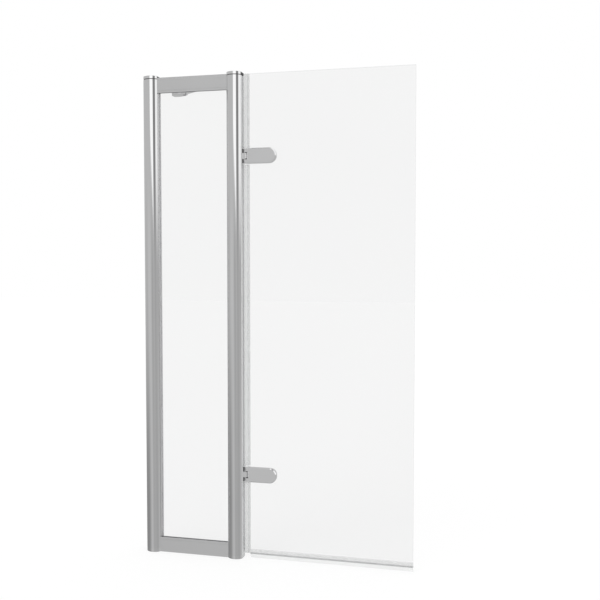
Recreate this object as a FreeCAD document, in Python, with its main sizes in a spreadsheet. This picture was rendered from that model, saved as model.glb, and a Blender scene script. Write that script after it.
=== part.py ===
import FreeCAD, Part
import math
import os
import re
import Sketcher
from FreeCAD import Rotation, Vector

# Bath screen: a narrow fixed pane framed by two upright posts and two rails, and a wide glass wing
# that swings on two hinges beside the second post. A brace runs from the wall to that post's back.
#
# +X runs along the screen away from the wall, +Y towards the bather's side, +Z up. The origin lies
# under the wall post, on the post's centre line and in the middle of the glass.

SIZES = {
    # whole screen
    "overall_height": 1400.0,
    "post_pitch": 255.0,
    "frame_top_drop": 5.5,
    # upright posts: flat sides and a shallow arched front
    "post_width": 42.0,
    "post_side_depth": 27.5,
    "post_front_rise": 10.5,
    "post_wall": 1.6,
    # end caps of the posts
    "cap_plate_height": 8.0,
    "cap_neck_height": 2.0,
    "cap_neck_inset": 1.0,
    "cap_foot_height": 10.0,
    "cap_edge_round": 0.8,
    "cap_plug_width": 24.0,
    "cap_plug_depth": 5.0,
    "cap_plug_length": 14.0,
    "cap_plug_gap": 0.2,
    # channel screwed to the wall, over which the wall post slides
    "wall_gap": 1.0,
    "channel_wall": 2.0,
    "channel_reach": 20.0,
    "channel_slip": 0.3,
    "channel_end_gap": 2.0,
    "wall_hole_radius": 2.6,
    "wall_hole_spacing": 400.0,
    # rails, beads and stiles round the fixed pane
    "rail_height": 37.0,
    "rail_setback": 0.5,
    "rail_wall": 1.6,
    "rail_lip_height": 3.0,
    "rail_lip_depth": 5.0,
    "bead_height": 7.0,
    "bead_arris": 0.5,
    "bead_slope": 2.0,
    "stile_web": 1.6,
    "stile_depth": 7.0,
    "stile_proud": 2.0,
    "stile_half_width": 8.7,
    "corner_block_length": 20.0,
    "corner_block_gap": 0.1,
    # glass and its gaskets
    "glass_thickness": 6.0,
    "glass_arris": 0.6,
    "gasket_side": 1.25,
    "gasket_seat": 1.5,
    "gasket_recess": 0.5,
    # swinging wing
    "wing_gap": 14.0,
    "wing_width": 480.0,
    "wing_bottom": 14.5,
    # hinges
    "hinge_from_end": 232.5,
    "hinge_length": 94.5,
    "hinge_height": 44.0,
    "hinge_thickness": 9.0,
    "hinge_pin_radius": 2.5,
    "hinge_pin_recess": 1.0,
    "hinge_pin_slip": 0.05,
    "hinge_pin_to_post": 13.0,
    "hinge_bevel": 3.0,
    "hinge_notch_reach": 7.2,
    "hinge_notch_height": 19.8,
    "hinge_back_thickness": 6.0,
    "hinge_back_inset": 3.5,
    "hinge_back_bevel": 1.0,
    "hinge_back_start": 3.0,
    "hinge_pad_thickness": 1.0,
    "hinge_pad_inset": 0.5,
    "hinge_sleeve_radius": 8.0,
    "hinge_screw_start": 28.0,
    "hinge_screw_spacing": 34.0,
    "hinge_thread_depth": 6.0,
    "leaf_thickness": 3.9,
    "leaf_depth": 22.5,
    "leaf_tongue_height": 15.6,
    "leaf_barrel_radius": 4.0,
    "leaf_screw_spacing": 28.0,
    "leaf_screw_offset": 8.0,
    "liner_thickness": 1.8,
    "liner_setback": 2.5,
    "liner_depth": 5.5,
    "liner_clear": 0.7,
    "liner_inset": 1.5,
    "washer_height": 2.0,
    "washer_radius": 3.6,
    "washer_slip": 0.3,
    # seals of the wing
    "seal_wall": 1.0,
    "seal_base": 1.5,
    "seal_leg": 7.3,
    "seal_lip_front": 3.25,
    "seal_lip_bend": 8.4,
    "seal_lip_depth": 11.25,
    "seal_lip_clear": 0.5,
    "seal_lip_thickness": 1.0,
    "seal_end_gap": 1.5,
    "bottom_seal_leg": 11.0,
    "bottom_seal_clear": 1.5,
    "seal_corner_gap": 0.3,
    # brace between the wall and the hinge post
    "brace_from_glass": 213.25,
    "brace_bottom": 15.0,
    "brace_block_width": 25.0,
    "brace_block_depth": 24.0,
    "brace_block_height": 20.0,
    "brace_block_round": 2.0,
    "brace_base_width": 16.0,
    "brace_base_depth": 16.0,
    "brace_base_height": 14.0,
    "brace_base_slip": 0.2,
    "brace_hole_spacing": 9.0,
    "brace_hole_radius": 2.2,
    "brace_grub_radius": 3.2,
    "brace_grub_recess": 0.8,
    "brace_grub_rise": 1.7,
    "brace_grub_from_wall": 11.0,
    "brace_tongue_reach": 19.7,
    "brace_tongue_drop": 15.0,
    "brace_tongue_thickness": 3.0,
    "brace_arm_width": 20.0,
    "brace_arm_thickness": 5.0,
    "brace_lug_reach": 12.0,
    "brace_lug_width": 24.0,
    "brace_lug_height": 33.0,
    "brace_lug_thickness": 3.0,
    "brace_nut_radius": 4.5,
    "brace_nut_height": 3.2,
    # screws
    "small_screw_radius": 1.7,
    "small_screw_head": 3.3,
    "small_screw_length": 8.0,
    "small_screw_head_height": 2.0,
    "frame_screw_radius": 2.0,
    "frame_screw_head": 3.8,
    "frame_screw_head_height": 2.6,
    "frame_screw_length": 16.0,
    "frame_screw_inset": 7.0,
    "large_screw_radius": 2.5,
    "large_screw_head": 4.5,
    "large_screw_head_height": 3.0,
}

doc = FreeCAD.newDocument("bath_screen")
sheet = doc.addObject("Spreadsheet::Sheet", "Sizes")
for row, (alias, size) in enumerate(SIZES.items(), start=1):
    sheet.set(f"A{row}", alias)
    sheet.set(f"B{row}", str(size))
    sheet.setAlias(f"B{row}", alias)
doc.recompute()
subparts = []


# ---------------------------------------------------------------- helpers

def expression(words):
    """Put the sheet's name in front of each of its aliases."""
    def full(word):
        return "Sizes." + word.group() if word.group() in SIZES else word.group()
    return re.sub(r"[a-z]\w+", full, words)


def bind(thing, name, words):
    """Bind one property to an expression in the sheet's aliases."""
    thing.setExpression(name, expression(words))


def value(words):
    """The number that an expression has now."""
    return float(sheet.evalExpression(expression(words)))


def subpart(thing):
    """Mark a finished piece, which is written to a file of its own."""
    subparts.append(thing)
    return thing


def box(name, low, high):
    """A block between two corners, each given as three expressions."""
    block = doc.addObject("Part::Box", name)
    for side, place, start, end in zip(("Length", "Width", "Height"), "xyz", low, high):
        bind(block, side, f"({end}) - ({start})")
        bind(block, f"Placement.Base.{place}", start)
    return block


WAYS = {"+X": Vector(1, 0, 0), "-X": Vector(-1, 0, 0), "+Y": Vector(0, 1, 0),
        "-Y": Vector(0, -1, 0), "+Z": Vector(0, 0, 1), "-Z": Vector(0, 0, -1)}
OPPOSITE = {"+X": "-X", "-X": "+X", "+Y": "-Y", "-Y": "+Y", "+Z": "-Z", "-Z": "+Z"}


def place(thing, foot, way):
    """Stand a round solid on a point, pointing along one of the axes."""
    thing.Placement = FreeCAD.Placement(Vector(0, 0, 0), Rotation(Vector(0, 0, 1), WAYS[way]))
    for letter, words in zip("xyz", foot):
        bind(thing, f"Placement.Base.{letter}", words)


def rod(name, radius, length, foot, way):
    """A round bar that starts at a point and runs along an axis."""
    bar = doc.addObject("Part::Cylinder", name)
    bind(bar, "Radius", radius)
    bind(bar, "Height", length)
    place(bar, foot, way)
    return bar


def fuse(name, pieces):
    """One solid made of touching or overlapping pieces."""
    whole = doc.addObject("Part::MultiFuse", name)
    whole.Shapes = pieces
    return whole


def group(name, pieces):
    """Separate solids that share one node."""
    together = doc.addObject("Part::Compound", name)
    together.Links = pieces
    return together


def cut(name, base, tools):
    """A piece with the shapes of its screws, pins or seats taken out."""
    tool = tools[0] if len(tools) == 1 else group(name + "_tools", tools)
    piece = doc.addObject("Part::Cut", name)
    piece.Base = base
    piece.Tool = tool
    return piece


def pan_screw(name, kind, length, foot, way):
    """A screw whose flat-backed head rests on the face through its foot point."""
    head = rod(name + "_head", kind + "_head", kind + "_head_height", foot, OPPOSITE[way])
    shank = rod(name + "_shank", kind + "_radius", length, foot, way)
    return fuse(name, [head, shank])


def flush_screw(name, kind, length, foot, way):
    """A countersunk screw whose head ends flush with the face through its foot point."""
    head = doc.addObject("Part::Cone", name + "_head")
    bind(head, "Radius1", kind + "_head")
    bind(head, "Radius2", kind + "_radius")
    bind(head, "Height", f"{kind}_head - {kind}_radius")
    place(head, foot, way)
    shank = rod(name + "_shank", kind + "_radius", length, foot, way)
    return fuse(name, [head, shank])


def new_body(name):
    """An empty body."""
    return doc.addObject("PartDesign::Body", name)


def arc_between(start, end, centre, turn):
    """The arc from start to end round centre, counter-clockwise where turn is 1."""
    first = math.atan2(start.y - centre.y, start.x - centre.x)
    last = math.atan2(end.y - centre.y, end.x - centre.x)
    sweep = (turn * (last - first)) % (2 * math.pi)
    middle = first + turn * sweep / 2
    radius = start.distanceToPoint(centre)
    through = centre + Vector(math.cos(middle), math.sin(middle), 0) * radius
    return Part.Arc(start, through, end)


def outline(body, name, plane, offset, corners):
    """A closed sketch. Each corner is (x, y), or (x, y, centre x, centre y, turn) before an arc."""
    sketch = body.newObject("Sketcher::SketchObject", name)
    origin_planes = {part.Role: part for part in body.Origin.OriginFeatures}
    sketch.AttachmentSupport = [(origin_planes[plane], "")]
    sketch.MapMode = "FlatFace"
    bind(sketch, "AttachmentOffset.Base.z", offset)
    points = [Vector(value(corner[0]), value(corner[1]), 0) for corner in corners]
    count = len(corners)
    for number, corner in enumerate(corners):
        start, end = points[number], points[(number + 1) % count]
        if len(corner) == 2:
            sketch.addGeometry(Part.LineSegment(start, end), False)
        else:
            centre = Vector(value(corner[2]), value(corner[3]), 0)
            sketch.addGeometry(arc_between(start, end, centre, corner[4]), False)

    def vertex(edge, point):
        near_first = sketch.getPoint(edge, 1).distanceToPoint(point)
        near_second = sketch.getPoint(edge, 2).distanceToPoint(point)
        return 1 if near_first < near_second else 2

    def fix(kind, edge, point, words, label):
        number = sketch.addConstraint(Sketcher.Constraint(kind, -1, 1, edge, point, value(words)))
        sketch.renameConstraint(number, label)
        bind(sketch, "Constraints." + label, words)

    starts = [vertex(edge, points[edge]) for edge in range(count)]
    ends = [3 - start for start in starts]
    for edge in range(count):
        following = (edge + 1) % count
        sketch.addConstraint(Sketcher.Constraint("Coincident", edge, ends[edge], following, starts[following]))
    for edge, corner in enumerate(corners):
        fix("DistanceX", edge, starts[edge], corner[0], f"across{edge}")
        fix("DistanceY", edge, starts[edge], corner[1], f"up{edge}")
        if len(corner) > 2:
            chord = points[(edge + 1) % count] - points[edge]
            if abs(chord.x) > abs(chord.y):
                fix("DistanceY", edge, 3, corner[3], f"centre{edge}")
            else:
                fix("DistanceX", edge, 3, corner[2], f"centre{edge}")
    return sketch


def rectangle(left, right, low, high):
    """The four corners of a rectangle."""
    return [(left, low), (right, low), (right, high), (left, high)]


def pad(body, sketch, length):
    """Add a sketch's area over a length along its normal."""
    feature = body.newObject("PartDesign::Pad", sketch.Name + "_pad")
    feature.Profile = sketch
    bind(feature, "Length", length)
    return feature


def pocket(body, sketch):
    """Take a sketch's area away all through the body, both ways."""
    feature = body.newObject("PartDesign::Pocket", sketch.Name + "_pocket")
    feature.Profile = sketch
    feature.Type = "ThroughAll"
    feature.Midplane = True
    return feature


def edges_where(feature, wanted):
    """Names of a feature's edges whose middle point passes a test."""
    doc.recompute()
    names = []
    for number, edge in enumerate(feature.Shape.Edges, start=1):
        middle = edge.valueAt((edge.FirstParameter + edge.LastParameter) / 2)
        if wanted(edge, middle):
            names.append(f"Edge{number}")
    return names


def dress(body, kind, feature, size_name, size, wanted):
    """A fillet or a chamfer on the edges that pass a test."""
    names = edges_where(feature, wanted)
    dressing = body.newObject("PartDesign::" + kind, body.Name + "_" + kind.lower())
    dressing.Base = (feature, names)
    bind(dressing, size_name, size)
    return dressing


# ---------------------------------------------------------------- shared places

HALF_WIDTH = "post_width / 2"
HALF_DEPTH = "post_side_depth / 2"
FRONT_RADIUS = "((post_width / 2) ^ 2 + post_front_rise ^ 2) / (2 * post_front_rise)"
FRONT_CENTRE = f"({FRONT_RADIUS} - post_side_depth / 2 - post_front_rise)"
WALL = "-post_width / 2 - wall_gap"
TUBE_BOTTOM = "cap_foot_height"
TUBE_TOP = "(overall_height - cap_plate_height - cap_neck_height)"
FRAME_TOP = "(overall_height - frame_top_drop)"
RAIL_FRONT = "(rail_setback - post_side_depth / 2)"
RAIL_LEFT = "post_width / 2"
RAIL_RIGHT = "(post_pitch - post_width / 2)"
SEAT = "(glass_thickness / 2 + gasket_side)"
PANE_BOTTOM = "(rail_height + bead_height)"
PANE_TOP = f"({FRAME_TOP} - rail_height - bead_height)"
POST_SIDE = "(post_pitch + post_width / 2)"
WING_LEFT = f"({POST_SIDE} + wing_gap)"
WING_RIGHT = f"({WING_LEFT} + wing_width)"
GLASS_HALF = "glass_thickness / 2"
PLATE_BACK = "(-glass_thickness / 2 - hinge_pad_thickness)"
PIN_X = f"({POST_SIDE} + hinge_pin_to_post)"
PIN_Y = f"({PLATE_BACK} - hinge_thickness / 2)"
PLATE_LEFT = f"({PIN_X} - hinge_thickness / 2)"
BACK_PLATE_OUTSIDE = "(glass_thickness / 2 + hinge_pad_thickness + hinge_back_thickness)"
HINGE_HEIGHTS = {"lower": "(wing_bottom + hinge_from_end)", "upper": f"({FRAME_TOP} - hinge_from_end)"}
# each post: centre line, and the way from it towards the fixed pane
POSTS = {"wall": ("0 * post_pitch", "+"), "hinge": ("post_pitch", "-")}


# ---------------------------------------------------------------- posts and caps

def post_outline(body, name, offset, inset):
    """The post's plan: back and sides straight, front a shallow arch, drawn in by inset."""
    side = f"({HALF_WIDTH} - {inset})"
    back = f"({HALF_DEPTH} - {inset})"
    corner = f"({FRONT_CENTRE} - sqrt(({FRONT_RADIUS} - {inset}) ^ 2 - {side} ^ 2))"
    corners = [(f"-{side}", back),
               (f"-{side}", corner, "0 * post_width", FRONT_CENTRE, 1),
               (side, corner),
               (side, back)]
    return outline(body, name, "XY_Plane", offset, corners)


def post_tube(which):
    """An extruded post with a front chamber and a main chamber, which the wall post leaves open."""
    body = new_body(f"{which}_post_tube")
    pad(body, post_outline(body, f"{which}_post_plan", TUBE_BOTTOM, "0 * post_wall"),
        f"{TUBE_TOP} - {TUBE_BOTTOM}")
    reach = f"sqrt(({FRONT_RADIUS} - post_wall) ^ 2 - ({FRONT_CENTRE} + {HALF_DEPTH}) ^ 2)"
    front = [(f"-{reach}", f"-{HALF_DEPTH}", "0 * post_width", FRONT_CENTRE, 1),
             (reach, f"-{HALF_DEPTH}")]
    pocket(body, outline(body, f"{which}_post_front_chamber", "XY_Plane", TUBE_BOTTOM, front))
    inner = f"({HALF_WIDTH} - post_wall)"
    open_side = f"-({HALF_WIDTH} + post_wall)" if which == "wall" else f"-{inner}"
    depth = f"({HALF_DEPTH} - post_wall)"
    main = rectangle(open_side, inner, f"-{depth}", depth)
    pocket(body, outline(body, f"{which}_post_main_chamber", "XY_Plane", TUBE_BOTTOM, main))
    bind(body, "Placement.Base.x", POSTS[which][0])
    return body


def plug(body, name, start):
    """The block of a cap that pushes into the post's front chamber."""
    back = f"(-{HALF_DEPTH} - cap_plug_gap)"
    corners = rectangle("-cap_plug_width / 2", "cap_plug_width / 2", f"({back} - cap_plug_depth)", back)
    return pad(body, outline(body, name, "XY_Plane", start, corners), "cap_plug_length")


def top_cap(which):
    """A cap plate over a slightly narrower neck, so that a dark groove runs round the post."""
    body = new_body(f"cap_top_{which}")
    plug(body, f"{which}_top_plug", f"{TUBE_TOP} - cap_plug_length")
    pad(body, post_outline(body, f"{which}_top_neck", TUBE_TOP, "cap_neck_inset"), "cap_neck_height")
    plate = pad(body, post_outline(body, f"{which}_top_plate", "overall_height - cap_plate_height",
                                   "0 * post_wall"), "cap_plate_height")
    top = value("overall_height")
    dress(body, "Fillet", plate, "Radius", "cap_edge_round", lambda edge, middle: abs(middle.z - top) < 1e-6)
    bind(body, "Placement.Base.x", POSTS[which][0])
    return subpart(body)


def bottom_cap(which):
    """The foot that closes the post below."""
    body = new_body(f"cap_bottom_{which}")
    pad(body, post_outline(body, f"{which}_foot_plate", "0 * post_wall", "0 * post_wall"), "cap_foot_height")
    plug(body, f"{which}_foot_plug", "cap_foot_height")
    bind(body, "Placement.Base.x", POSTS[which][0])
    return subpart(body)


# ---------------------------------------------------------------- rails, beads, stiles, fixed pane

RAILS = {"bottom": ("0 * overall_height", "+"), "top": (FRAME_TOP, "-")}


def rail(which):
    """A hollow rail with a low lip behind the glass."""
    base, up = RAILS[which]
    body = new_body(f"rail_{which}")
    low, seat, lip_top = (f"({base} {up} ({words}))" for words in
                          ("0 * rail_height", "rail_height", "rail_height + rail_lip_height"))
    lip_back = f"({SEAT} + rail_lip_depth)"
    corners = [(RAIL_FRONT, low), (HALF_DEPTH, low), (HALF_DEPTH, seat), (lip_back, seat),
               (lip_back, lip_top), (SEAT, lip_top), (SEAT, seat), (RAIL_FRONT, seat)]
    pad(body, outline(body, f"rail_{which}_section", "YZ_Plane", RAIL_LEFT, corners),
        f"{RAIL_RIGHT} - {RAIL_LEFT}")
    chamber = rectangle(f"({RAIL_FRONT} + rail_wall)", f"({HALF_DEPTH} - rail_wall)",
                        f"({base} {up} rail_wall)", f"({base} {up} (rail_height - rail_wall))")
    pocket(body, outline(body, f"rail_{which}_chamber", "YZ_Plane", RAIL_LEFT, chamber))
    return subpart(body)


def bead(which):
    """The glazing bead in front of the glass, which slopes back to it, with small bevels at its joint line."""
    base, up = RAILS[which]
    body = new_body(f"bead_{which}")
    root, after_root, before_tip, tip, inner_tip = (f"({base} {up} ({words}))" for words in (
        "rail_height", "rail_height + bead_arris", "rail_height + bead_height - bead_arris",
        "rail_height + bead_height", "rail_height + bead_height - bead_slope"))
    eased = f"({RAIL_FRONT} + bead_arris)"
    corners = [(RAIL_FRONT, after_root), (eased, root), (f"-{SEAT}", root),
               (f"-{SEAT}", inner_tip), (eased, tip), (RAIL_FRONT, before_tip)]
    pad(body, outline(body, f"bead_{which}_section", "YZ_Plane", RAIL_LEFT, corners),
        f"{RAIL_RIGHT} - {RAIL_LEFT}")
    return subpart(body)


def stile(which):
    """The upright channel in a post's side that holds one edge of the fixed pane.

    It fills a slot in the post, from rail to rail, and stands a little proud between the beads.
    """
    centre, inward = POSTS[which]
    side = f"({centre} {inward} {HALF_WIDTH})"
    root = f"({centre} {inward} ({HALF_WIDTH} - stile_depth))"
    web = f"({root} {inward} stile_web)"
    tip = f"({side} {inward} stile_proud)"
    low, high = "rail_height", f"({FRAME_TOP} - rail_height)"
    edges = {"front": ("-stile_half_width", f"-{SEAT}"), "back": (SEAT, "stile_half_width")}
    noses = {"front": (PANE_BOTTOM, PANE_TOP),
             "back": (f"({low} + rail_lip_height)", f"({high} - rail_lip_height)")}
    near, far = sorted((root, web), key=value)
    pieces = [box(f"stile_{which}_web", (near, "-stile_half_width", low), (far, "stile_half_width", high))]
    for edge, (start, end) in edges.items():
        near, far = sorted((web, side), key=value)
        pieces.append(box(f"stile_{which}_{edge}_wall", (near, start, low), (far, end, high)))
        near, far = sorted((side, tip), key=value)
        foot, head = noses[edge]
        pieces.append(box(f"stile_{which}_{edge}_nose", (near, start, foot), (far, end, head)))
    near, far = sorted((root, side), key=value)
    slot = box(f"stile_{which}_slot", (near, "-stile_half_width", low), (far, "stile_half_width", high))
    subpart(fuse(f"stile_{which}", pieces))
    return slot


def pane(name, left, right, low, high):
    """A sheet of glass with eased edges."""
    body = new_body(name)
    sketch = outline(body, name + "_face", "XZ_Plane", f"-{GLASS_HALF}", rectangle(left, right, low, high))
    sheet_pad = pad(body, sketch, "glass_thickness")
    half = value(GLASS_HALF)
    dress(body, "Chamfer", sheet_pad, "Size", "glass_arris", lambda edge, middle: abs(abs(middle.y) - half) < 1e-6)
    return body


def fixed_pane():
    """The narrow pane and the four channel gaskets round its edges."""
    web = {"wall": f"({RAIL_LEFT} - stile_depth + stile_web)",
           "hinge": f"({RAIL_RIGHT} + stile_depth - stile_web)"}
    nose = {"wall": f"({RAIL_LEFT} + stile_proud - gasket_recess)",
            "hinge": f"({RAIL_RIGHT} - stile_proud + gasket_recess)"}
    side = {"wall": RAIL_LEFT, "hinge": RAIL_RIGHT}
    floor, ceiling = "rail_height", f"({FRAME_TOP} - rail_height)"
    glass = subpart(pane("fixed_glass", f"({web['wall']} + gasket_seat)", f"({web['hinge']} - gasket_seat)",
                         f"({floor} + gasket_seat)", f"({ceiling} - gasket_seat)"))
    front_reach, back_reach = "(bead_height - gasket_recess)", "(rail_lip_height - gasket_recess)"
    inner_low, inner_high = f"({floor} + {front_reach})", f"({ceiling} - {front_reach})"
    spans = {"bottom": ((floor, inner_low), (floor, f"({floor} + {back_reach})")),
             "top": ((inner_high, ceiling), (f"({ceiling} - {back_reach})", ceiling))}
    for which, (front, back) in spans.items():
        legs = [box(f"gasket_{which}_front", (RAIL_LEFT, f"-{SEAT}", front[0]), (RAIL_RIGHT, GLASS_HALF, front[1])),
                box(f"gasket_{which}_back", (RAIL_LEFT, f"-{SEAT}", back[0]), (RAIL_RIGHT, SEAT, back[1]))]
        subpart(cut(f"gasket_{which}", fuse(f"gasket_{which}_blank", legs), [glass]))
    for which in POSTS:
        near, far = sorted((web[which], side[which]), key=value)
        inside = box(f"gasket_{which}_inside", (near, f"-{SEAT}", floor), (far, SEAT, ceiling))
        near, far = sorted((side[which], nose[which]), key=value)
        proud = box(f"gasket_{which}_proud", (near, f"-{SEAT}", inner_low), (far, SEAT, inner_high))
        subpart(cut(f"gasket_{which}", fuse(f"gasket_{which}_blank", [inside, proud]), [glass]))


# ---------------------------------------------------------------- frame fasteners

def corner_joints():
    """Blocks in the rail ends and the screws that pull the posts against them."""
    blocks, screws = [], {"wall": [], "hinge": []}
    for which, (base, up) in RAILS.items():
        span = sorted((f"({base} {up} (rail_wall + corner_block_gap))",
                       f"({base} {up} (rail_height - rail_wall - corner_block_gap))"), key=value)
        for side, (centre, inward) in POSTS.items():
            face = f"({centre} {inward} {HALF_WIDTH})"
            end = f"({face} {inward} corner_block_length)"
            near, far = sorted((face, end), key=value)
            blocks.append(box(f"corner_block_{which}_{side}_blank",
                              (near, f"{RAIL_FRONT} + rail_wall + corner_block_gap", span[0]),
                              (far, f"{HALF_DEPTH} - rail_wall - corner_block_gap", span[1])))
            middle = f"({base} {up} (cap_foot_height + (rail_height - cap_foot_height) / 2 - rail_wall))"
            for number, shift in enumerate(("-", "+"), start=1):
                foot = (f"{centre} {inward} ({HALF_WIDTH} - post_wall)", "0 * post_width",
                        f"{middle} {shift} frame_screw_inset")
                name = f"corner_screw_{which}_{side}_{number}"
                screws[side].append(pan_screw(name, "frame_screw", "frame_screw_length", foot, inward + "X"))
    every_screw = subpart(group("corner_screws", screws["wall"] + screws["hinge"]))
    subpart(cut("corner_blocks", group("corner_block_blanks", blocks), [every_screw]))
    return every_screw


def wall_channel():
    """The U channel on the wall, its free screw holes, and the screws that lock the post on it."""
    half = f"({HALF_DEPTH} - post_wall - channel_slip)"
    low, high = f"({TUBE_BOTTOM} + channel_end_gap)", f"({TUBE_TOP} - channel_end_gap)"
    reach = f"({WALL} + channel_reach)"
    web = box("channel_web", (WALL, f"-{half}", low), (f"{WALL} + channel_wall", half, high))
    flanges = [box("channel_front_flange", (WALL, f"-{half}", low), (reach, f"-{half} + channel_wall", high)),
               box("channel_back_flange", (WALL, f"{half} - channel_wall", low), (reach, half, high))]
    holes = []
    for number in range(4):
        height = f"overall_height / 2 + wall_hole_spacing * {number - 1.5}"
        foot = (f"{WALL} - channel_wall", "0 * post_width", height)
        holes.append(rod(f"wall_hole_{number + 1}", "wall_hole_radius", "channel_wall * 3", foot, "+X"))
    locks = []
    for number in range(3):
        height = f"overall_height * {number + 1} / 4 - wall_hole_radius * 20"
        foot = (f"{reach} - channel_reach / 2", HALF_DEPTH, height)
        locks.append(pan_screw(f"adjusting_screw_{number + 1}", "small_screw", "small_screw_length", foot, "-Y"))
    adjusting = subpart(group("adjusting_screws", locks))
    subpart(cut("wall_profile", fuse("channel", [web] + flanges), holes + [adjusting]))
    return adjusting


# ---------------------------------------------------------------- hinges

def d_plate(name, left, inset, back, thickness, height):
    """A plate with one round end, drawn in by inset, that stands before the height given."""
    body = new_body(name)
    middle = f"({PLATE_LEFT} + hinge_length - hinge_height / 2)"
    half = f"(hinge_height / 2 - {inset})"
    corners = [(left, f"-{half}"), (middle, f"-{half}", middle, "0 * hinge_height", 1),
               (middle, half), (left, half)]
    plate = pad(body, outline(body, name + "_face", "XZ_Plane", f"-({back})", corners), thickness)
    bind(body, "Placement.Base.z", height)
    return body, plate


def front_plate(name, height):
    """The visible hinge plate: bevelled face, rounded ears and a notch for the leaf's barrel."""
    body, plate = d_plate(name, PLATE_LEFT, "0 * hinge_height", PLATE_BACK, "hinge_thickness", height)
    front = value(f"{PLATE_BACK} - hinge_thickness")
    left = value(PLATE_LEFT)
    dress(body, "Chamfer", plate, "Size", "hinge_bevel",
          lambda edge, middle: abs(middle.y - front) < 1e-6 and middle.x > left + 1e-6)
    ear = "hinge_thickness / 2"
    spare = "hinge_thickness"
    corners = [(PIN_X, f"({PIN_Y} + {ear})", PIN_X, PIN_Y, 1), (PIN_X, f"({PIN_Y} - {ear})"),
               (PIN_X, f"({PIN_Y} - {spare})"), (f"({PIN_X} - {spare})", f"({PIN_Y} - {spare})"),
               (f"({PIN_X} - {spare})", f"({PIN_Y} + {spare})"), (PIN_X, f"({PIN_Y} + {spare})")]
    pocket(body, outline(body, name + "_ear_round", "XY_Plane", "0 * hinge_height", corners))
    notch = rectangle(f"({PLATE_LEFT} - hinge_thickness)", f"({PIN_X} + hinge_notch_reach)",
                      "-hinge_notch_height / 2", "hinge_notch_height / 2")
    pocket(body, outline(body, name + "_notch", "XZ_Plane", f"-{PLATE_BACK}", notch))
    return body


def back_plate(name, height):
    """The plain inner plate that the screws pass through."""
    body, plate = d_plate(name, f"({WING_LEFT} + hinge_back_start)", "hinge_back_inset",
                          BACK_PLATE_OUTSIDE, "hinge_back_thickness", height)
    outside = value(BACK_PLATE_OUTSIDE)
    dress(body, "Chamfer", plate, "Size", "hinge_back_bevel", lambda edge, middle: abs(middle.y - outside) < 1e-6)
    return body


def hinge_pads(name, height, screw_places):
    """The soft pads on both faces of the glass, joined by sleeves through its holes."""
    left = f"({WING_LEFT} + hinge_back_start)"
    front, _ = d_plate(name + "_front", left, "hinge_pad_inset", f"-{GLASS_HALF}", "hinge_pad_thickness", height)
    back, _ = d_plate(name + "_back", left, "(hinge_back_inset + hinge_pad_inset)",
                      f"{GLASS_HALF} + hinge_pad_thickness", "hinge_pad_thickness", height)
    sleeves = [rod(f"{name}_sleeve_{number}", "hinge_sleeve_radius", "glass_thickness",
                   (across, f"-{GLASS_HALF}", height), "+Y") for number, across in enumerate(screw_places, 1)]
    return fuse(name, [front, back] + sleeves), sleeves


def leaf(which, height):
    """The fixed leaf on the post's side, whose tongue carries the barrel, and its screws."""
    half = "hinge_height / 2"
    front = f"({PIN_Y} - hinge_thickness / 2)"
    face = f"({POST_SIDE} + leaf_thickness)"
    base = box(f"leaf_{which}_base", (POST_SIDE, front, f"{height} - {half}"),
               (face, f"{front} + leaf_depth", f"{height} + {half}"))
    tongue_half = "leaf_tongue_height / 2"
    tongue = box(f"leaf_{which}_tongue",
                 (face, f"{PIN_Y} - leaf_barrel_radius", f"{height} - {tongue_half}"),
                 (PIN_X, f"{PIN_Y} + leaf_barrel_radius", f"{height} + {tongue_half}"))
    barrel = rod(f"leaf_{which}_barrel", "leaf_barrel_radius", "leaf_tongue_height",
                 (PIN_X, PIN_Y, f"{height} - {tongue_half}"), "+Z")
    bore = rod(f"leaf_{which}_bore", "hinge_pin_radius + hinge_pin_slip", "leaf_tongue_height",
               (PIN_X, PIN_Y, f"{height} - {tongue_half}"), "+Z")
    screws = []
    for number, shift in enumerate(("-", "+"), start=1):
        foot = (face, f"{PIN_Y} + leaf_screw_offset", f"{height} {shift} leaf_screw_spacing / 2")
        screws.append(flush_screw(f"leaf_screw_{which}_{number}", "large_screw",
                                  "leaf_thickness + small_screw_length", foot, "-X"))
    fixings = subpart(group(f"leaf_screws_{which}", screws))
    blank = fuse(f"leaf_{which}_blank", [base, tongue, barrel])
    subpart(cut(f"hinge_leaf_{which}", blank, [bore, fixings]))
    return fixings


def washers(which, height):
    """A washer above and one below the barrel, round the pin."""
    rings = []
    starts = (f"{height} + leaf_tongue_height / 2", f"{height} - leaf_tongue_height / 2 - washer_height")
    for number, start in enumerate(starts, start=1):
        name = f"washer_{which}_{number}"
        disc = rod(name + "_disc", "washer_radius", "washer_height", (PIN_X, PIN_Y, start), "+Z")
        hole = rod(name + "_hole", "hinge_pin_radius + washer_slip", "washer_height", (PIN_X, PIN_Y, start), "+Z")
        rings.append(cut(name, disc, [hole]))
    return subpart(group(f"hinge_washers_{which}", rings))


def liners(which, height):
    """Dark pads on the leaf's face, above and below its tongue, that the plate's ears turn past."""
    front = f"({PIN_Y} - hinge_thickness / 2 + liner_setback)"
    back = f"({front} + liner_depth)"
    face = f"({POST_SIDE} + leaf_thickness)"
    proud = f"({face} + liner_thickness)"
    near, far = "(leaf_tongue_height / 2 + liner_clear)", "(hinge_height / 2 - liner_inset)"
    spans = {"low": (f"{height} - {far}", f"{height} - {near}"),
             "high": (f"{height} + {near}", f"{height} + {far}")}
    pads = [box(f"liner_{which}_{side}", (face, front, start), (proud, back, end))
            for side, (start, end) in spans.items()]
    return subpart(group(f"leaf_liners_{which}", pads))


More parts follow.
